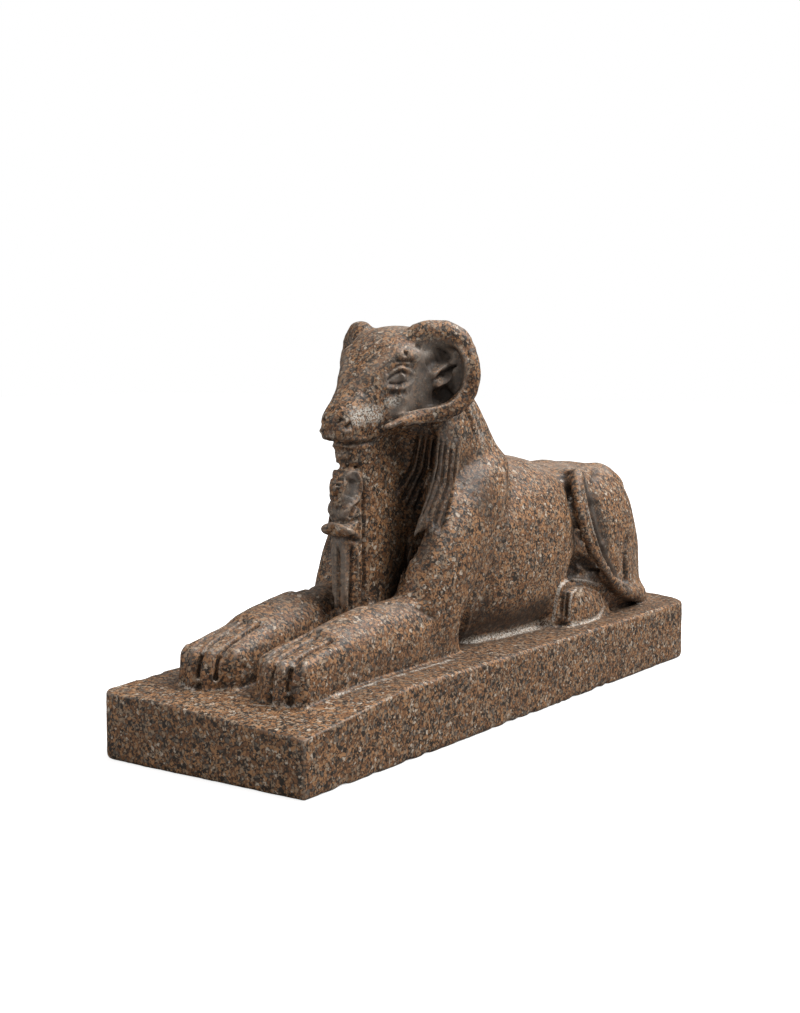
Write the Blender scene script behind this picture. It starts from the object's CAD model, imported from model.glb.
import math

import bpy
import numpy as np
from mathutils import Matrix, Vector
from mathutils.bvhtree import BVHTree


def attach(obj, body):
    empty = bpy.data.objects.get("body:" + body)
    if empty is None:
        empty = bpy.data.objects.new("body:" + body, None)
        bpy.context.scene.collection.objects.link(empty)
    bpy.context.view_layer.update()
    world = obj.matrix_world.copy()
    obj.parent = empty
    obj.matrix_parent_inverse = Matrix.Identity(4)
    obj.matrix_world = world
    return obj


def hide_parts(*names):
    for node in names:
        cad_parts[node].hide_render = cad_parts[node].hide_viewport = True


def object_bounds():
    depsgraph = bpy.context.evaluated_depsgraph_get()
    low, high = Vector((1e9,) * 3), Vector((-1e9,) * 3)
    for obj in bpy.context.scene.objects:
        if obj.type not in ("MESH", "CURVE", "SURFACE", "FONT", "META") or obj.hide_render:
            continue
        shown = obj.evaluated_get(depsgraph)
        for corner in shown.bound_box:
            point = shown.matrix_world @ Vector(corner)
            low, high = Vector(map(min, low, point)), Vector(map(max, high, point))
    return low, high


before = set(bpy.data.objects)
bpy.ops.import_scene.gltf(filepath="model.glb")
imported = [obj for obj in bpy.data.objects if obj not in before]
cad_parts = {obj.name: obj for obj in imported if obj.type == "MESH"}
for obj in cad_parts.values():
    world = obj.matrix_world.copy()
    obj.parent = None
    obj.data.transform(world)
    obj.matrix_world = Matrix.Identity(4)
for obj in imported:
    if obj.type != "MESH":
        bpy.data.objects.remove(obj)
cadBox = [list(corner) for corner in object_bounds()]

mm = 0.001
plinthTop = 27.3 * mm    # the animal lies on this level


def say(words):
    print("sphinx:", words)


def selectOnly(thing):
    bpy.ops.object.select_all(action="DESELECT")
    thing.select_set(True)
    bpy.context.view_layer.objects.active = thing


def applied(thing, kind, **settings):
    selectOnly(thing)
    modifier = thing.modifiers.new(kind.lower(), kind)
    for name, value in settings.items():
        setattr(modifier, name, value)
    bpy.ops.object.modifier_apply(modifier=modifier.name)


def spotsOf(thing):
    spots = np.empty(len(thing.data.vertices) * 3, np.float32)
    thing.data.vertices.foreach_get("co", spots)
    return spots.reshape(-1, 3).astype(float)


def normalsOf(thing):
    normals = np.empty(len(thing.data.vertices) * 3, np.float32)
    thing.data.vertex_normals.foreach_get("vector", normals)
    return normals.reshape(-1, 3).astype(float)


def moveSpots(thing, spots):
    thing.data.vertices.foreach_set("co", spots.astype(np.float32).ravel())
    thing.data.update()


def keep(thing, name, values):    # a value on each vertex that the material reads
    layer = thing.data.attributes.new(name, "FLOAT", "POINT")
    layer.data.foreach_set("value", np.clip(values, 0, 1).astype(np.float32))


def ease(low, high, values):    # 0 below low, 1 above high, smooth between
    t = np.clip((values - low) / (high - low), 0, 1)
    return t * t * (3 - 2 * t)


def boxed(spots, line, reach):    # the vertices within reach of a line's box
    low, high = np.min(line, axis=0) - reach, np.max(line, axis=0) + reach
    return np.nonzero(np.all((spots > low) & (spots < high), axis=1))[0]


def drawn(line):    # a single point made into a line too short to see
    return line if len(line) > 1 else [line[0], line[0] + np.array((0, 0, 0.05 * mm))]


# Camera at the photograph's place
view = {
    "place": (0.34554, -0.52641, 0.14364),
    "azimuth": 35.048,     # degrees round from the front towards the left flank
    "elevation": 5.644,
    "lens": 53.19,
    "sensor": 36.0,
    "frame": (800, 1013),
}


def addCamera():
    turn, lift = math.radians(view["azimuth"]), math.radians(view["elevation"])
    bpy.ops.object.camera_add(
        location=view["place"], rotation=(math.pi / 2 - lift, 0, turn))
    eye = bpy.context.object
    eye.name = "photoCamera"
    eye.data.lens = view["lens"]
    eye.data.sensor_width = view["sensor"]
    bpy.context.scene.camera = eye
    bpy.context.view_layer.update()
    return eye


def rayThrough(px, py):    # direction from the camera through a pixel of the photograph
    wide, tall = view["frame"]
    reach = view["lens"] / view["sensor"] * tall
    ray = Vector((px - wide / 2, tall / 2 - py, -reach))
    return (camera.matrix_world.to_3x3() @ ray).normalized()


camera = addCamera()
say("camera placed")

# The carved stone: one piece, grown from the CAD solid
stone = {
    "voxel": 0.65 * mm,
    "rounding": [(24, 0.45, 0.9), (110, 0.45, 1.0)],    # passes; most a facet and least a crease moves
    "merge": 0.00001,
    "freeing": (-1 * mm, 4 * mm),    # over the plinth's top, where the smoothing sets in
    "finePasses": 5,        # eases every edge a little
    "softPasses": 60,
    "softSpots": [    # width in mm, pixels: the horn's hollow twice, the lappet's end, the tail's top
        (4.6, [(432, 352), (444, 358), (452, 370), (450, 385), (440, 395), (429, 398), (425, 380),
               (424, 364)]),
        (3.0, [(438, 372), (446, 376)]),
        (3.0, [(417, 529), (421, 531), (425, 524)]),
        (2.2, [(580, 470), (585, 471)]),
    ],
    "fineZones": [    # low and high corner in mm, heights above the plinth's top
        ((-36, -92, 58), (36, -18, 133)),       # head
        ((-14, -86, 18), (14, -62, 58)),        # small king
        ((-33, -141, -1), (33, -104, 19)),      # front paws
        ((20, 28, -1), (44, 66, 22)),           # hind feet
        ((-44, 28, -1), (-20, 66, 22)),
    ],
    "fineBend": 0.3,        # how far new vertices follow the roundness
    "triangles": 192000,
}
fillings = {    # middle and half sizes in mm of stone left in the narrow gaps, on both sides
    "behindHorn": ((17.5, -24.5, 110), (9, 8.5, 14)),
    "behindLappet": ((19.5, -38, 62), (5, 5.5, 12.5)),
    "underTail": ((20.5, 71, 58.5), (7.5, 12, 9.5)),
    "innerToes": ((10.5, -128.5, 3), (2.2, 4.5, 9.5)),
    "middleToes": ((17.1, -128.5, 3), (2.2, 5.0, 9.5)),
    "outerToes": ((23.7, -128.5, 3), (2.2, 4.6, 9.5)),
}


def roughStone():
    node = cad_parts["ram_sphinx"]
    rough = node.copy()
    rough.data = node.data.copy()
    rough.name = "carvedSphinx"
    rough.parent = None
    bpy.context.scene.collection.objects.link(rough)
    selectOnly(rough)
    bpy.ops.object.mode_set(mode="EDIT")
    bpy.ops.mesh.select_all(action="SELECT")
    bpy.ops.mesh.remove_doubles(threshold=stone["merge"])
    bpy.ops.object.mode_set(mode="OBJECT")
    balls = []
    for (x, y, z), halves in fillings.values():
        for side in (1, -1):
            bpy.ops.mesh.primitive_uv_sphere_add(
                radius=mm, location=(side * x * mm, y * mm, z * mm + plinthTop), scale=halves)
            balls.append(bpy.context.object)
    selectOnly(rough)
    for ball in balls:
        ball.select_set(True)
    bpy.ops.object.join()
    applied(rough, "REMESH", mode="VOXEL", voxel_size=stone["voxel"])
    return rough


def polylineDistance(spots, line):
    best = np.full(len(spots), 1e9)
    along = np.zeros(len(spots))
    lengths = [np.linalg.norm(b - a) for a, b in zip(line[:-1], line[1:])]
    total, run = sum(lengths), 0.0
    for a, b, length in zip(line[:-1], line[1:], lengths):
        step = b - a
        t = np.clip(((spots - a) @ step) / max(step @ step, 1e-12), 0, 1)
        away = np.linalg.norm(spots - (a + t[:, None] * step), axis=1)
        nearer = away < best
        best[nearer] = away[nearer]
        along[nearer] = (run + t[nearer] * length) / total
        run += length
    return best, along


def onFigure(points):    # millimetres, heights above the plinth's top
    return [np.array((x, y, z)) * mm + np.array((0, 0, plinthTop)) for x, y, z in points]


def smoothStone(piece):    # facets go, but creases and edges stay
    low, high = stone["freeing"]
    for passes, facet, crease in stone["rounding"]:
        sharp = spotsOf(piece)
        applied(piece, "SMOOTH", factor=0.5, iterations=passes)
        soft = spotsOf(piece)
        moved = np.linalg.norm(soft - sharp, axis=1)
        share = 1 - ease(facet * mm, crease * mm, moved)
        share *= ease(plinthTop + low, plinthTop + high, sharp[:, 2])
        moveSpots(piece, sharp + (soft - sharp) * share[:, None])
    applied(piece, "SMOOTH", factor=0.5, iterations=stone["finePasses"])


def surfaceOf(piece):
    return BVHTree.FromObject(piece, bpy.context.evaluated_depsgraph_get())


def seenAt(surface, pixels):    # where the stone shows through pixels of the photograph
    eye = camera.matrix_world.translation
    hits = [surface.ray_cast(eye, rayThrough(px, py))[0] for px, py in pixels]
    missed = [pixel for pixel, hit in zip(pixels, hits) if hit is None]
    if missed:
        say(f"no stone behind {missed}")
    return [np.array(hit) for hit in hits if hit is not None]


def closer(pixels, step=5):    # the same line with a pixel at least every few
    line = [pixels[0]]
    for a, b in zip(pixels[:-1], pixels[1:]):
        parts = max(1, round(math.dist(a, b) / step))
        line += [tuple(np.add(a, np.subtract(b, a) * (i + 1) / parts)) for i in range(parts)]
    return line


def laidOn(surface, points):    # points brought onto the nearest stone
    return [np.array(surface.find_nearest(Vector(point))[0]) for point in points]


def bothFlanks(surface, line):
    if not line:
        return []
    turned = [point * np.array((-1, 1, 1)) for point in line]
    return [line, laidOn(surface, turned)]


def touched(surface, start, way):    # where a straight line in mm first meets the stone
    hit = surface.ray_cast(Vector(onFigure([start])[0]), Vector(way))[0]
    return np.array(hit)


stroke = {
    "reach": 3.0,       # in widths, beyond which nothing changes
    "fall": 1.4,        # how steep its sides are
    "start": -0.001,    # just before its first point
    "taper": 0.12,      # the share of its length that runs out at either end
}


def tooled(spots, normals, line, width, rise):    # a ridge (rise above 0) or a groove along a line
    path, ends = drawn(line), (stroke["start"], stroke["taper"])
    near = boxed(spots, path, stroke["reach"] * width)
    if len(near) == 0:
        return
    away, along = polylineDistance(spots[near], path)
    share = np.exp(-((away / width) ** 2) * stroke["fall"])
    if len(line) > 1:
        share *= ease(*ends, along) * ease(*ends, 1 - along)
    spots[near] += normals[near] * (share * rise)[:, None]


def softened(piece):    # the soft spots lose their facets and creases
    surface = surfaceOf(piece)
    spots = spotsOf(piece)
    weights = np.zeros(len(spots))
    for width, pixels in stone["softSpots"]:
        for line in bothFlanks(surface, seenAt(surface, pixels)):
            stain(spots, weights, line, width * mm, 1.0)
    group = piece.vertex_groups.new(name="soft")
    for level in range(1, 11):
        chosen = np.nonzero(np.round(weights * 10) == level)[0]
        group.add(chosen.tolist(), level / 10, "REPLACE")
    applied(piece, "SMOOTH", factor=0.5, iterations=stone["softPasses"], vertex_group="soft")
    piece.vertex_groups.clear()


def refined(piece):    # smaller faces where the carving is fine
    faces = piece.data.polygons
    middles = np.empty(len(faces) * 3, np.float32)
    faces.foreach_get("center", middles)
    middles = middles.reshape(-1, 3) - np.array((0, 0, plinthTop))
    chosen = np.zeros(len(faces), bool)
    for low, high in stone["fineZones"]:
        chosen |= np.all((middles > np.array(low) * mm) & (middles < np.array(high) * mm), axis=1)
    selectOnly(piece)
    bpy.ops.object.mode_set(mode="EDIT")
    bpy.ops.mesh.select_mode(type="FACE")
    bpy.ops.mesh.select_all(action="DESELECT")
    bpy.ops.object.mode_set(mode="OBJECT")
    faces.foreach_set("select", chosen)
    bpy.ops.object.mode_set(mode="EDIT")
    bpy.ops.mesh.subdivide(number_cuts=1, smoothness=stone["fineBend"])
    bpy.ops.object.mode_set(mode="OBJECT")


def stain(spots, layer, line, width, strength):
    path = drawn(line)
    near = boxed(spots, path, stroke["reach"] * width)
    if len(near):
        away, _ = polylineDistance(spots[near], path)
        layer[near] = np.maximum(layer[near], np.exp(-((away / width) ** 2)) * strength)


sphinx = roughStone()
say(f"stone roughed out, {len(sphinx.data.polygons)} faces")
smoothStone(sphinx)
softened(sphinx)
refined(sphinx)
say(f"big forms rounded, {len(sphinx.data.polygons)} faces")

# Carving seen on the near side, repeated on the far one: width and rise in mm, pixels of the photograph
headCarving = {
    "lidFold": (0.8, -0.6, [(386, 376), (391, 370.5), (397, 366), (403, 364.8), (409, 367.5)]),
    "upperLid": (1.0, 0.55, [(382, 382), (386, 376), (391, 371), (398, 368), (405, 368.5), (411, 372),
                             (415, 377)]),
    "underLid": (0.75, -0.8, [(386.5, 381.5), (391, 376.5), (396.5, 373), (402, 371.5), (407, 374)]),
    "eyeball": (1.9, 1.3, [(401, 377), (404, 376)]),
    "aboveLowerLid": (0.7, -0.8, [(388, 383), (394, 384), (400, 383.5), (406, 380.5)]),
    "lowerLid": (0.9, 0.45, [(383, 385), (388, 388), (396, 389.5), (404, 388), (411, 384), (415, 379)]),
    "underEye": (1.6, -0.7, [(388, 393), (397, 394), (406, 392)]),
    "brow": (2.2, 0.5, [(394, 355), (399, 350), (406, 347.5), (413, 350), (419, 355)]),
    "browPit": (1.4, -0.8, [(403, 355), (407, 356)]),
    "underBrow": (1.0, -0.9, [(394, 361), (404, 361.5), (413, 361)]),
    "hornNotch": (1.8, -0.6, [(415, 345), (420, 349)]),
    "earUpper": (1.4, 1.9, [(430, 379), (437, 371), (446, 365), (457, 361)]),
    "earSlot": (0.9, -1.9, [(432, 381), (440, 375), (449, 369), (457, 364)]),
    "earLower": (1.3, 1.7, [(433, 386), (443, 382), (451, 376), (458, 368)]),
    "earUnder": (3.4, -2.4, [(432, 397), (441, 395), (450, 389)]),
    "earAbove": (2.6, -1.2, [(426, 367), (434, 361), (440, 358)]),
    "hornRim": (1.1, 1.0, [(447, 341.5), (456, 345), (462, 352), (466, 362), (467, 374), (464.5, 387),
                           (458, 398), (449, 405.5), (437, 409), (420, 411.5), (404, 415), (390, 421)]),
    "hornInside": (1.5, -1.2, [(449, 346), (456, 352), (460, 362), (460.5, 375), (457, 388), (449, 398)]),
    "hornUnder": (0.9, 0.6, [(464, 413), (452, 418.5), (439, 420), (425, 421.5), (413, 422), (402, 426)]),
    "cheek": (4.0, 0.7, [(398, 397), (408, 400)]),
    "nostril": (0.8, -1.0, [(336, 423), (339.5, 420.5), (343, 419)]),
    "nostrilBack": (0.9, -1.1, [(345, 428), (348, 426), (351, 423)]),
    "nostrilWing": (1.0, 0.7, [(339, 428), (345, 432), (352, 430)]),
    "mouth": (0.9, -1.1, [(325, 437), (331, 441), (338, 443), (350, 444), (364, 443.5), (376, 441)]),
    "upperLip": (1.3, 0.6, [(326, 433), (340, 438), (354, 439), (368, 438.5)]),
    "bridge": (4.2, 1.5, [(347, 352), (345, 362), (343.5, 373), (341.5, 384)]),
    "chin": (3.0, 1.1, [(341, 452), (342, 459)]),
    "lowerLip": (1.1, 0.5, [(335, 443.5), (342, 445.5), (356, 446)]),
}
figureCarving = {
    "ovalFloor": (2.4, -1.4, [(353, 479), (352, 488), (349, 498)]),
    "ovalRim": (0.8, 1.1, [(346, 478), (350, 472.5), (356, 473), (360, 480), (361, 490), (357, 500),
                           (349, 508)]),
    "ovalFrontRim": (0.8, 0.8, [(345.5, 478), (343.5, 490), (341, 502)]),
    "lappetCut": (0.8, -1.3, [(358, 503), (353, 511), (349, 519)]),
    "lappetRidge": (1.0, 0.8, [(351, 504), (346, 511), (343, 518)]),
    "armCut": (1.0, -1.3, [(331, 519), (340, 522), (350, 522), (359, 519)]),
    "foreArm": (1.4, 0.7, [(326, 527), (336, 524), (348, 530), (361, 538)]),
    "underArm": (1.0, -1.3, [(333, 540), (342, 539), (352, 539.5), (360, 541)]),
    "wrapOuter": (0.8, -1.2, [(363.5, 480), (363.5, 510), (364, 545), (364, 575), (363, 600)]),
    "wrapFold": (0.8, -1.1, [(352, 545), (351, 570), (350, 592), (350, 612)]),
    "wrapFoldFront": (0.8, -1.1, [(338, 548), (338, 575), (339, 596), (340, 616)]),
    "wrapRidge": (0.8, 0.8, [(345, 546), (344.5, 575), (345, 600)]),
    "hemRidge": (0.8, 0.8, [(357, 545), (357, 575), (356, 604)]),
}
calmFace = {    # the small king's face on common proportions, in mm on the left half
    "brow": (0.6, 0.35, [(0.7, -78, 70), (1.7, -77.4, 70.3), (2.8, -76, 69.7)]),
    "eye": (0.55, -0.5, [(0.8, -77.8, 68.9), (2.6, -76.4, 68.8)]),
    "eyeball": (0.5, 0.4, [(1.3, -77.6, 68.2), (2.1, -77, 68.2)]),
    "mouth": (0.45, -0.5, [(0, -78.2, 64), (1.4, -77.6, 64.1)]),
    "lowerLip": (0.5, 0.3, [(0, -78, 63.3), (0.9, -77.8, 63.3)]),
}
bodyCarving = {
    "haunchCut": (1.7, -2.6, [(628, 535), (625.5, 550), (625, 568), (627, 585)]),
    "haunchBack": (1.8, 0.7, [(618, 530), (617, 555), (620, 578)]),
    "footArch": (0.9, 1.1, [(553, 621), (556, 600), (559, 588), (565, 581.5), (575, 579.5), (588, 581),
                            (598, 585)]),
    "archCut": (0.9, -1.3, [(561, 619), (562, 602), (565, 590), (571, 585), (580, 584)]),
    "toeEdge": (0.8, 0.9, [(569, 620), (569.5, 605), (571.5, 594), (576, 589.5), (586, 588.5), (597, 593),
                           (604, 603)]),
    "toeCut": (0.7, -1.0, [(565.5, 619), (566, 603), (568, 592)]),
    "shoulderEdge": (1.6, 1.0, [(503, 468), (505, 482), (501, 505), (496, 532), (489, 558), (480, 585),
                                (470, 612), (463, 638)]),
    "shoulderBack": (3.4, -0.5, [(513, 478), (510, 505), (505, 532), (498, 560), (489, 590), (478, 618)]),
    "foreArmCrease": (1.4, -0.9, [(380, 603), (400, 604), (420, 610), (436, 619)]),
    "hindHollow": (3.2, -3.6, [(571, 572), (579, 562), (588, 565), (596, 575)]),
    "hindHollowLow": (2.6, -2.6, [(572, 574), (583, 574), (593, 576)]),
    "bellyKerb": (2.6, 1.9, [(464, 642), (475, 641), (500, 636), (525, 630), (546, 622)]),
}
tailCarving = {    # the tail lies on the left haunch alone
    "front": (1.6, -1.2, [(566, 478), (569, 495), (573, 515), (579, 536), (588, 553), (600, 571),
                          (612, 588)]),
    "behind": (1.2, -2.0, [(584, 476), (587, 490), (592, 508), (597, 530), (605, 556), (617, 578),
                           (629, 590)]),
    "rim": (0.8, 0.7, [(580, 474), (583.5, 492), (588, 511), (593.5, 532), (601, 556), (613, 577)]),
    "top": (2.2, 0.8, [(573, 481), (576, 474), (582, 470), (590, 469)]),
    "dip": (1.6, -1.6, [(561, 478), (565, 474), (569, 472)]),
    "hipHollow": (5.0, -1.2, [(594, 500), (598, 520), (605, 545)]),
    "hipDip": (1.8, -1.2, [(592, 481), (594, 474), (597, 471)]),
}
fullness = {    # broad swellings in mm, on both sides of the middle
    "tailRoot": (2.6, 2.2, [(0, 118, 59), (0, 126, 51), (0, 133, 42), (0, 139, 30)]),
    "hornTop": (4.5, 1.1, [(10, -43.5, 127), (13, -41, 130), (19.2, -34.5, 132), (26, -30, 128.5),
                           (30.5, -28.5, 121)]),
    "back": (15, 1.5, [(0, 8, 76), (0, 30, 75), (0, 52, 75), (0, 74, 74), (0, 94, 71)]),
    "hip": (8, 1.5, [(18, 104, 66), (19, 112, 64), (20, 120, 59)]),
    "foreLeg": (8, 2.0, [(18, -112, 18), (18, -100, 21), (18, -88, 25), (18, -78, 30)]),
}
wigBackCarving = {
    "first": (0.9, -1.1, [(465, 405), (471, 421), (476, 440)]),
    "second": (0.9, -1.1, [(471, 405), (477, 419), (483, 436)]),
}
wigCarving = {
    "strands": 8,
    "top": (418.7, 432), "topStep": (5.6, 1.6),
    "middle": (412, 466.4), "middleStep": (6.0, 3.2),
    "bottom": (394.9, 497.8), "bottomStep": (6.2, 5.4),
    "width": 0.8, "rise": -1.6,
}
pawCarving = {
    "across": (10.5, 17.1, 23.7),    # between the toes, either side of the middle
    "front": (1.5, 4, 6.5, 9, 11), "before": -152,      # heights where each groove is met from the front
    "top": (-132, -128, -122, -116, -107), "over": 40,    # and places where it is met from above
    "width": 0.85, "rise": (-1.7, -2.2),
}


def carve(piece):
    surface = surfaceOf(piece)
    spots, normals = spotsOf(piece), normalsOf(piece)
    lines, swellings, toes = [], [], []
    for carving in (headCarving, figureCarving, bodyCarving, wigBackCarving):
        for width, rise, pixels in carving.values():
            lines += [(line, width, rise) for line in bothFlanks(surface, seenAt(surface, closer(pixels)))]
    for width, rise, pixels in tailCarving.values():
        lines.append((seenAt(surface, closer(pixels)), width, rise))
    for width, rise, points in fullness.values():
        line = laidOn(surface, onFigure(points))
        sides = bothFlanks(surface, line) if points[0][0] else [line]    # a line on the middle stays single
        swellings += [(side, width, rise) for side in sides]
    for order in range(wigCarving["strands"]):
        pixels = [tuple(np.add(wigCarving[part], np.multiply(order, wigCarving[part + "Step"])))
                  for part in ("top", "middle", "bottom")]
        lines += [(line, wigCarving["width"], wigCarving["rise"])
                  for line in bothFlanks(surface, seenAt(surface, closer(pixels)))]
    for width, rise, points in calmFace.values():
        lines += [(laidOn(surface, onFigure([(side * x, y, z) for x, y, z in points])), width, rise)
                  for side in (1, -1)]
    for across in pawCarving["across"]:
        for side in (1, -1):
            front = [touched(surface, (side * across, pawCarving["before"], z), (0, 1, 0))
                     for z in pawCarving["front"]]
            top = [touched(surface, (side * across, y, pawCarving["over"]), (0, 0, -1))
                   for y in pawCarving["top"]]
            for course, rise in zip((front, top), pawCarving["rise"]):
                toes.append((course, pawCarving["width"], rise))
    lines = [cut for cut in lines if len(cut[0])]
    for line, width, rise in lines + toes + swellings:
        tooled(spots, normals, line, width * mm, rise * mm)
    moveSpots(piece, spots)
    return lines, toes


cuts, toeCuts = carve(sphinx)
say("details carved")

# Weather: a slightly uneven skin, pits where grains fell out, and knocks along the plinth's edges
wear = {
    "swell": (7 * mm, 0.35 * mm),      # size and depth of the slow unevenness
    "ripple": (1.8 * mm, 0.1 * mm),
    "pits": 420,
    "pitSize": (0.5 * mm, 1.5 * mm),
    "knocks": 90,
    "knockSize": (1.2 * mm, 3.6 * mm),
    "pitDepth": 0.45,        # share of its size
    "knockDepth": 0.2,
    "foot": 0.3 * mm,        # height of the knocks along the lower edges
    "soundEnd": 30 * mm,     # the bowed rear end keeps its edge
    "seed": 21,
}


def weather(piece):
    for name in ("swell", "ripple"):
        size, depth = wear[name]
        clouds = bpy.data.textures.new(name, "CLOUDS")
        clouds.noise_scale = size
        applied(piece, "DISPLACE", texture=clouds, strength=depth, mid_level=0.5, texture_coords="LOCAL")
    spots, normals = spotsOf(piece), normalsOf(piece)
    chance = np.random.default_rng(wear["seed"])
    for spot in spots[chance.integers(0, len(spots), wear["pits"])]:
        size = chance.uniform(*wear["pitSize"])
        tooled(spots, normals, [spot.copy()], size, -wear["pitDepth"] * size)
    low, high = cadBox
    for _ in range(wear["knocks"]):
        y = chance.uniform(low[1], high[1] - wear["soundEnd"])
        side = chance.choice([low[0], high[0]])
        level = chance.choice([wear["foot"], plinthTop])
        size = chance.uniform(*wear["knockSize"])
        tooled(spots, normals, [np.array((side, y, level))], size, -wear["knockDepth"] * size)
    moveSpots(piece, spots)


weather(sphinx)
say("weathered")


def thinned(piece):
    faces = sum(len(face.vertices) - 2 for face in piece.data.polygons)
    share = stone["triangles"] / faces
    if share < 1:
        applied(piece, "DECIMATE", ratio=share)


thinned(sphinx)
say(f"stone thinned to {len(sphinx.data.polygons)} faces")

# How open each place is to the sky, for the dirt in the hollows
shade = {
    "rays": 14,
    "reach": 22 * mm,
    "lean": 1.05,        # how much the rays keep to the normal
    "lift": 0.3 * mm,
    "far": 0.6,          # what a hit at full reach still counts
    "seed": 7,
}


def openness(piece):
    spots, normals = spotsOf(piece), normalsOf(piece)
    tree = surfaceOf(piece)
    chance = np.random.default_rng(shade["seed"])
    seen = np.zeros(len(spots))
    for _ in range(shade["rays"]):
        spread = chance.normal(size=spots.shape)
        spread /= np.linalg.norm(spread, axis=1, keepdims=True)
        ways = normals * shade["lean"] + spread
        ways /= np.linalg.norm(ways, axis=1, keepdims=True)
        starts = spots + normals * shade["lift"]
        for i, (start, way) in enumerate(zip(starts.tolist(), ways.tolist())):
            distance = tree.ray_cast(start, way, shade["reach"])[3]
            seen[i] += 1 if distance is None else distance / shade["reach"] * shade["far"]
    return seen / shade["rays"]


# Colour along the cuts: grime in the grooves, a paler rub on the ridges, lime along the joints
rubbing = {
    "grooveReach": 1.15,     # in widths of the cut
    "ridgeReach": 0.8,
    "deepest": 1.0,         # a cut this deep, in mm, is filled with grime
    "toeLime": 0.7,
    "floorGrime": 0.5,      # on the plinth's level top
    "floorLevel": (0.8, 1.0),
    "floorBand": 2 * mm,
}
limeLines = {    # width in mm, strength, pixels of the photograph
    "bellyKerb": (2.0, 1.0, [(464, 642), (475, 641), (500, 636), (525, 630), (546, 622)]),
    "foreleg": (0.8, 0.9, [(335, 696), (360, 688), (400, 675), (440, 663), (460, 657)]),
    "footArch": (0.9, 0.8, [(553, 621), (556, 600), (559, 588), (565, 581.5), (575, 579.5), (588, 581),
                            (598, 585)]),
    "toeEdge": (0.6, 0.9, [(569, 620), (569.5, 605), (571.5, 594), (576, 589.5)]),
    "footFloor": (1.2, 0.9, [(572, 624), (585, 622), (597, 618), (603, 610)]),
    "paws": (0.9, 0.7, [(250, 704), (270, 706), (290, 707), (312, 703)]),
    "farPaw": (0.9, 0.6, [(178, 684), (186, 688), (193, 689)]),
    "muzzle": (3.4, 1.0, [(357, 418), (366, 414), (377, 414)]),
    "cheek": (2.0, 0.8, [(388, 402), (396, 402)]),
    "wigBack": (4.0, 0.45, [(471, 406), (476, 420), (482, 438)]),
    "mark": (0.5, 0.8, [(347, 688), (347.5, 680), (352, 674), (357, 674), (361, 680)]),
}
tailColours = {    # width in mm, strength, pixels, on the left haunch alone
    "lime": (0.6, 0.7, [(580, 474), (583.5, 492), (588, 511), (593.5, 532)]),
    "grey": (1.4, 0.9, [(584, 476), (587, 490), (592, 508), (597, 530), (605, 556), (617, 578),
                        (629, 590)]),
    "grime": (3.0, 0.35, [(577, 480), (582, 505), (590, 535), (602, 562), (618, 583)]),
}
darkPatches = {    # dirt in the deep shade: width in mm, strength, pixels
    "chest": (8.0, 0.55, [(393, 445), (402, 480), (398, 520), (392, 565)]),
    "strands": (6.5, 0.9, [(446, 434), (436, 480), (422, 528)]),
    "strandsTop": (4.5, 0.7, [(412, 428), (430, 430), (452, 430)]),
    "strandsBack": (4.0, 0.85, [(457, 440), (450, 480), (436, 520), (420, 560)]),
    "hindHollow": (4.6, 1.0, [(572, 572), (580, 563), (588, 566), (595, 574)]),
    "haunch": (5.0, 0.55, [(596, 492), (600, 515), (606, 545)]),
    "belly": (6.5, 1.0, [(474, 618), (490, 622), (520, 617), (544, 606)]),
    "tailFront": (3.0, 0.8, [(565, 478), (569, 500), (574, 525), (581, 545)]),
    "hock": (1.6, 0.8, [(627, 540), (625, 560), (627, 582)]),
    "shoulderTop": (11.0, 0.75, [(466, 462), (476, 478), (486, 500)]),
    "elbow": (5.0, 0.8, [(468, 636), (478, 618), (486, 600)]),
    "foreleg": (9.0, 0.5, [(340, 676), (380, 664), (420, 650), (448, 640)]),
    "hollowFront": (2.6, 0.6, [(426, 368), (434, 363)]),
    "hollowFoot": (4.0, 0.9, [(430, 403), (438, 399), (446, 393)]),
    "lappet": (6.5, 0.6, [(400, 446), (410, 470), (404, 500)]),
    "foot": (6.0, 0.4, [(580, 604), (592, 604)]),
    "horn": (2.5, 0.4, [(452, 409), (440, 414), (424, 416)]),
}
greyPatches = {    # smooth grey dressed hollows: width in mm, strength, pixels
    "hornHollow": (5.5, 1.0, [(434, 349), (446, 356), (454, 372), (448, 392)]),
    "hornHollowFront": (5.0, 1.0, [(424, 352), (424, 372), (424, 390), (430, 402)]),
    "cheek": (4.0, 0.8, [(412, 380), (410, 395), (412, 404), (395, 410)]),
    "oval": (3.0, 1.0, [(353, 477), (352, 488), (348, 500)]),
    "breast": (3.0, 0.7, [(335, 512), (345, 516)]),
    "wrap": (2.6, 0.7, [(341, 540), (343, 560), (343, 600)]),
    "lidField": (3.4, 0.8, [(388, 379), (396, 378), (405, 378)]),
    "eyeBack": (3.0, 0.6, [(412, 372), (412, 384)]),
}


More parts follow.
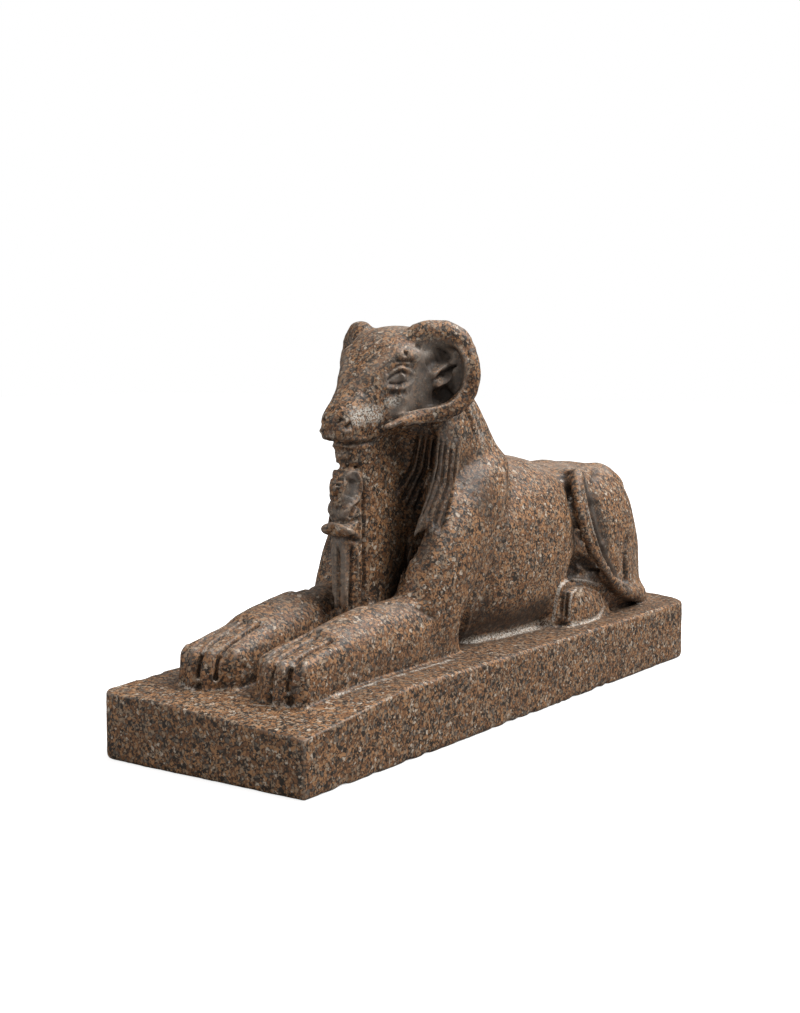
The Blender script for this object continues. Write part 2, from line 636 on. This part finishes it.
def rubbed(piece, surface):
    spots = spotsOf(piece)
    level = ease(*rubbing["floorLevel"], normalsOf(piece)[:, 2])
    level *= np.abs(spots[:, 2] - plinthTop) < rubbing["floorBand"]
    grime, rub = rubbing["floorGrime"] * level, np.zeros(len(spots))
    for line, width, rise in cuts:
        reach = width * mm * (rubbing["grooveReach"] if rise < 0 else rubbing["ridgeReach"])
        stain(spots, grime if rise < 0 else rub, line, reach, min(abs(rise) / rubbing["deepest"], 1))
    lime, grey = np.zeros(len(spots)), np.zeros(len(spots))
    for line, width, _ in toeCuts:
        stain(spots, lime, line, width * mm, rubbing["toeLime"])
    for patches, layer in ((limeLines, lime), (greyPatches, grey), (darkPatches, grime)):
        for width, strength, pixels in patches.values():
            for line in bothFlanks(surface, seenAt(surface, pixels)):
                stain(spots, layer, line, width * mm, strength)
    layers = {"grime": grime, "rub": rub, "lime": lime, "grey": grey}
    for name, (width, strength, pixels) in tailColours.items():
        stain(spots, layers[name], seenAt(surface, pixels), width * mm, strength)
    for name, layer in layers.items():
        keep(piece, name, layer)


rounded = {
    "shortest": 0.3 * mm,
    "spread": (2, 0.6),      # passes, and the share taken from the neighbours
    "worn": (90, 420),       # roundness in 1/m where wear begins and is full
    "sunk": (120, 520),
}


def bending(piece):    # how round each place is, in 1/m: above 0 on edges, below 0 in grooves
    spots, normals = spotsOf(piece), normalsOf(piece)
    ends = np.empty(len(piece.data.edges) * 2, np.int32)
    piece.data.edges.foreach_get("vertices", ends)
    a, b = ends.reshape(-1, 2).T
    span = spots[b] - spots[a]
    length = np.maximum((span ** 2).sum(axis=1), rounded["shortest"] ** 2)
    bends, count = np.zeros(len(spots)), np.zeros(len(spots))
    for here, turn in ((a, -1), (b, 1)):
        np.add.at(bends, here, turn * 2 * (span * normals[here]).sum(axis=1) / length)
        np.add.at(count, here, 1)
    count = np.maximum(count, 1)
    bends /= count
    passes, share = rounded["spread"]
    for _ in range(passes):
        shared = np.zeros(len(spots))
        np.add.at(shared, a, bends[b])
        np.add.at(shared, b, bends[a])
        bends = (1 - share) * bends + share * shared / count
    return bends


dust = {
    "level": (0.55, 1.0),               # upward part of the normal
    "above": (2 * mm, 30 * mm),         # over the plinth's top
    "shoulder": (26, -34, 78),          # middle of the bare place, in mm
    "bare": (16 * mm, 36 * mm),
}


def dusty(piece):    # pale dust on the level places above the plinth, less on the shoulders
    spots = spotsOf(piece)
    level = ease(*dust["level"], normalsOf(piece)[:, 2])
    above = ease(*dust["above"], spots[:, 2] - plinthTop)
    spots[:, 0] = np.abs(spots[:, 0])
    away = np.linalg.norm(spots - onFigure([dust["shoulder"]])[0], axis=1)
    return level * above * ease(*dust["bare"], away)


rubbed(sphinx, surfaceOf(sphinx))
roundness = bending(sphinx)
keep(sphinx, "worn", ease(*rounded["worn"], roundness))
keep(sphinx, "sunk", ease(*rounded["sunk"], -roundness))
keep(sphinx, "open", openness(sphinx))
keep(sphinx, "dust", dusty(sphinx))
say("hollows and edges measured")

# Granite: rusty and tan feldspar, dark mica between the grains, small pale and black flecks
granite = {
    "grain": 640.0,           # grains to the metre
    "fleck": 1350.0,
    "warp": 0.0011,
    "warping": 420.0,         # noise that bends the grains
    "breaks": 900.0,          # noise that breaks the seams
    "patches": 1500.0,
    "clouds": 90.0,
    "gain": 1.25,
    "roughness": 0.55,
    "relief": 0.00018,
    "reliefStrength": 0.4,
}
rust, orange, tan = (0.19, 0.090, 0.040), (0.36, 0.185, 0.085), (0.31, 0.215, 0.14)
greyBrown, cream, soot = (0.125, 0.098, 0.076), (0.50, 0.41, 0.32), (0.030, 0.020, 0.0135)
dustColour, limeColour = (0.40, 0.34, 0.29), (0.70, 0.64, 0.56)
bigShares = [(0.0, orange), (0.22, rust), (0.42, tan), (0.56, greyBrown), (0.70, rust), (0.82, soot),
             (0.96, cream)]
fleckShares = [(0.0, soot), (0.36, orange), (0.58, rust), (0.74, tan), (0.955, cream)]
bands = {    # where each begins and ends, and the result at either
    "flecked": (0.52, 0.56, 0.0, 0.85),
    "seam": (0.03, 0.16, 1.0, 0.0),
    "broken": (0.42, 0.56, 0.0, 0.85),
    "patchy": (0.47, 0.54, 0.0, 1.0),
    "cloudy": (0.35, 0.65, 0.15, 1.0),
    "dusty": (0.0, 1.0, 0.0, 0.42),
    "limed": (0.2, 0.75, 0.0, 1.0),
    "limePatch": (0.0, 1.0, 0.1, 1.0),
}
coats = [    # attribute, where it begins and is full, how much it covers at either, colour
    ("rub", 0.1, 0.8, 0.0, 0.2, (0.40, 0.33, 0.27)),
    ("worn", 0.1, 1.0, 0.0, 0.32, (0.48, 0.38, 0.30)),
    ("open", 0.2, 0.8, 0.82, 0.0, (0.02, 0.014, 0.01)),
    ("grey", 0.15, 0.75, 0.0, 0.72, (0.27, 0.23, 0.195)),
    ("grime", 0.25, 0.9, 0.0, 0.7, (0.035, 0.024, 0.017)),
    ("sunk", 0.1, 1.0, 0.0, 0.7, (0.03, 0.02, 0.014)),
]


def graniteMaterial():
    made = bpy.data.materials.new("speckledGranite")
    made.use_nodes = True
    nodes, links = made.node_tree.nodes, made.node_tree.links
    nodes.clear()

    def node(kind, **settings):
        new = nodes.new(kind)
        for name, value in settings.items():
            if name in new.inputs:
                new.inputs[name].default_value = value
            else:
                setattr(new, name, value)
        return new

    def link(a, b):
        links.new(a, b)

    def ramp(value, stops):
        strip = node("ShaderNodeValToRGB")
        strip.color_ramp.interpolation = "CONSTANT"
        steps = strip.color_ramp.elements
        for i, (spot, tint) in enumerate(stops):
            step = steps[i] if i < 2 else steps.new(spot)    # a new ramp has two
            step.position = spot
            step.color = (*tint, 1)
        link(value, strip.inputs["Fac"])
        return strip.outputs["Color"]

    def mix(share, low, high, blend="MIX"):
        blender = node("ShaderNodeMix", data_type="RGBA", blend_type=blend)
        for value, order in ((share, 0), (low, 6), (high, 7)):    # factor and the two colours
            socket = blender.inputs[order]
            if isinstance(value, bpy.types.NodeSocket):
                link(value, socket)
            else:
                socket.default_value = value
        return blender.outputs[2]

    def between(value, low, high, atLow, atHigh):
        span = node("ShaderNodeMapRange")
        link(value, span.inputs["Value"])
        for name, level in (("From Min", low), ("From Max", high), ("To Min", atLow), ("To Max", atHigh)):
            span.inputs[name].default_value = level
        return span.outputs["Result"]

    def times(first, second):
        both = node("ShaderNodeMath", operation="MULTIPLY")
        link(first, both.inputs[0])
        link(second, both.inputs[1])
        return both.outputs["Value"]

    def layer(name):
        return node("ShaderNodeAttribute", attribute_name=name).outputs["Fac"]

    def noise(scale, detail):
        cloud = node("ShaderNodeTexNoise", Scale=scale, Detail=detail)
        link(place, cloud.inputs["Vector"])
        return cloud

    out = node("ShaderNodeOutputMaterial")
    shader = node("ShaderNodeBsdfPrincipled")
    link(shader.outputs["BSDF"], out.inputs["Surface"])
    place = node("ShaderNodeTexCoord").outputs["Object"]
    shift = node("ShaderNodeVectorMath", operation="MULTIPLY_ADD")
    link(noise(granite["warping"], 2.0).outputs["Color"], shift.inputs[0])
    shift.inputs[1].default_value = (granite["warp"],) * 3
    link(place, shift.inputs[2])

    def grains(scale, feature="F1"):
        cells = node("ShaderNodeTexVoronoi", feature=feature, Scale=scale)
        link(shift.outputs["Vector"], cells.inputs["Vector"])
        return cells

    def chances(cells):
        split = node("ShaderNodeSeparateColor")
        link(cells.outputs["Color"], split.inputs["Color"])
        return split.outputs

    big, small = grains(granite["grain"]), grains(granite["fleck"])
    bigChance, smallChance = chances(big), chances(small)
    colour, flecks = ramp(bigChance["Red"], bigShares), ramp(smallChance["Green"], fleckShares)
    colour = mix(between(smallChance["Red"], *bands["flecked"]), colour, flecks)
    seams = between(grains(granite["grain"], "DISTANCE_TO_EDGE").outputs["Distance"], *bands["seam"])
    broken = between(noise(granite["breaks"], 2.0).outputs["Fac"], *bands["broken"])
    colour = mix(times(seams, broken), colour, (*soot, 1))
    colour = mix(1.0, colour, (granite["gain"],) * 3 + (1,), "MULTIPLY")

    patchy = between(noise(granite["patches"], 3.0).outputs["Fac"], *bands["patchy"])
    cloudy = between(noise(granite["clouds"], 3.0).outputs["Fac"], *bands["cloudy"])
    colour = mix(times(between(layer("dust"), *bands["dusty"]), cloudy), colour, (*dustColour, 1))
    for name, begin, full, bare, covered, coat in coats:
        colour = mix(between(layer(name), begin, full, bare, covered), colour, (*coat, 1))
    limed = times(between(layer("lime"), *bands["limed"]), between(patchy, *bands["limePatch"]))
    colour = mix(limed, colour, (*limeColour, 1))
    link(colour, shader.inputs["Base Color"])
    shader.inputs["Roughness"].default_value = granite["roughness"]

    relief = node("ShaderNodeBump", Strength=granite["reliefStrength"], Distance=granite["relief"])
    link(small.outputs["Distance"], relief.inputs["Height"])
    link(relief.outputs["Normal"], shader.inputs["Normal"])
    return made


sphinx.data.materials.clear()
sphinx.data.materials.append(graniteMaterial())
selectOnly(sphinx)
bpy.ops.object.shade_smooth()
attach(sphinx, "root")
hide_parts("ram_sphinx")
say("granite on")

# Studio: pale floor, soft light from above and behind the left flank, dim room
studio = {
    "floor": 8.0,
    "aim": (0, 0, 0.07),
    "paper": 0.86,
    "bounce": 0.22,                  # how much of the light the paper sends back up
    "glow": (0.74, 1.0),             # near the statue and away from it
    "near": (0.22, 0.8),
    "room": 0.22,
    "key": (0.55, 0.38, 1.05, 0.9, 20.0),      # x, y, z, size, watts
    "fill": (-0.7, -1.2, 0.8, 1.0, 6.0),
}


def paperMaterial():
    paper = bpy.data.materials.new("palePaper")
    paper.use_nodes = True
    nodes, links = paper.node_tree.nodes, paper.node_tree.links
    seen = nodes["Principled BSDF"]
    seen.inputs["Base Color"].default_value = (studio["paper"],) * 3 + (1,)
    seen.inputs["Roughness"].default_value = 1.0
    seen.inputs["Emission Color"].default_value = (1, 1, 1, 1)
    spread = nodes.new("ShaderNodeVectorMath")
    spread.operation = "LENGTH"
    links.new(nodes.new("ShaderNodeTexCoord").outputs["Object"], spread.inputs[0])
    glow = nodes.new("ShaderNodeMapRange")
    links.new(spread.outputs["Value"], glow.inputs["Value"])
    levels = (*studio["near"], *studio["glow"])
    for name, level in zip(("From Min", "From Max", "To Min", "To Max"), levels):
        glow.inputs[name].default_value = level
    links.new(glow.outputs["Result"], seen.inputs["Emission Strength"])
    dull = nodes.new("ShaderNodeBsdfDiffuse")
    dull.inputs["Color"].default_value = (studio["bounce"],) * 3 + (1,)
    choose = nodes.new("ShaderNodeMixShader")
    links.new(nodes.new("ShaderNodeLightPath").outputs["Is Camera Ray"], choose.inputs[0])
    links.new(dull.outputs[0], choose.inputs[1])
    links.new(seen.outputs[0], choose.inputs[2])
    links.new(choose.outputs[0], nodes["Material Output"].inputs["Surface"])
    return paper


def studioLight(name):
    x, y, z, size, watts = studio[name]
    bpy.ops.object.light_add(type="AREA", location=(x, y, z))
    lamp = bpy.context.object
    lamp.name = name + "Light"
    lamp.data.size = size
    lamp.data.energy = watts
    lamp.rotation_euler = (Vector(studio["aim"]) - lamp.location).to_track_quat("-Z", "Y").to_euler()


def studioSet():
    bpy.ops.mesh.primitive_plane_add(size=studio["floor"], location=(0, 0, 0))
    floor = bpy.context.object
    floor.name = "studioFloor"
    floor.data.materials.append(paperMaterial())
    world = bpy.data.worlds.new("softRoom")
    bpy.context.scene.world = world
    world.use_nodes = True
    nodes, links = world.node_tree.nodes, world.node_tree.links
    room = nodes["Background"]
    room.inputs["Strength"].default_value = studio["room"]
    room.inputs["Color"].default_value = (1, 1, 1, 1)
    white = nodes.new("ShaderNodeBackground")
    white.inputs["Strength"].default_value = 1.0
    white.inputs["Color"].default_value = (1, 1, 1, 1)
    choose = nodes.new("ShaderNodeMixShader")
    links.new(nodes.new("ShaderNodeLightPath").outputs["Is Camera Ray"], choose.inputs[0])
    links.new(room.outputs[0], choose.inputs[1])
    links.new(white.outputs[0], choose.inputs[2])
    links.new(choose.outputs[0], nodes["World Output"].inputs["Surface"])
    for name in ("key", "fill"):
        studioLight(name)


studioSet()
bpy.context.scene.view_settings.view_transform = "Standard"
say("studio lit")
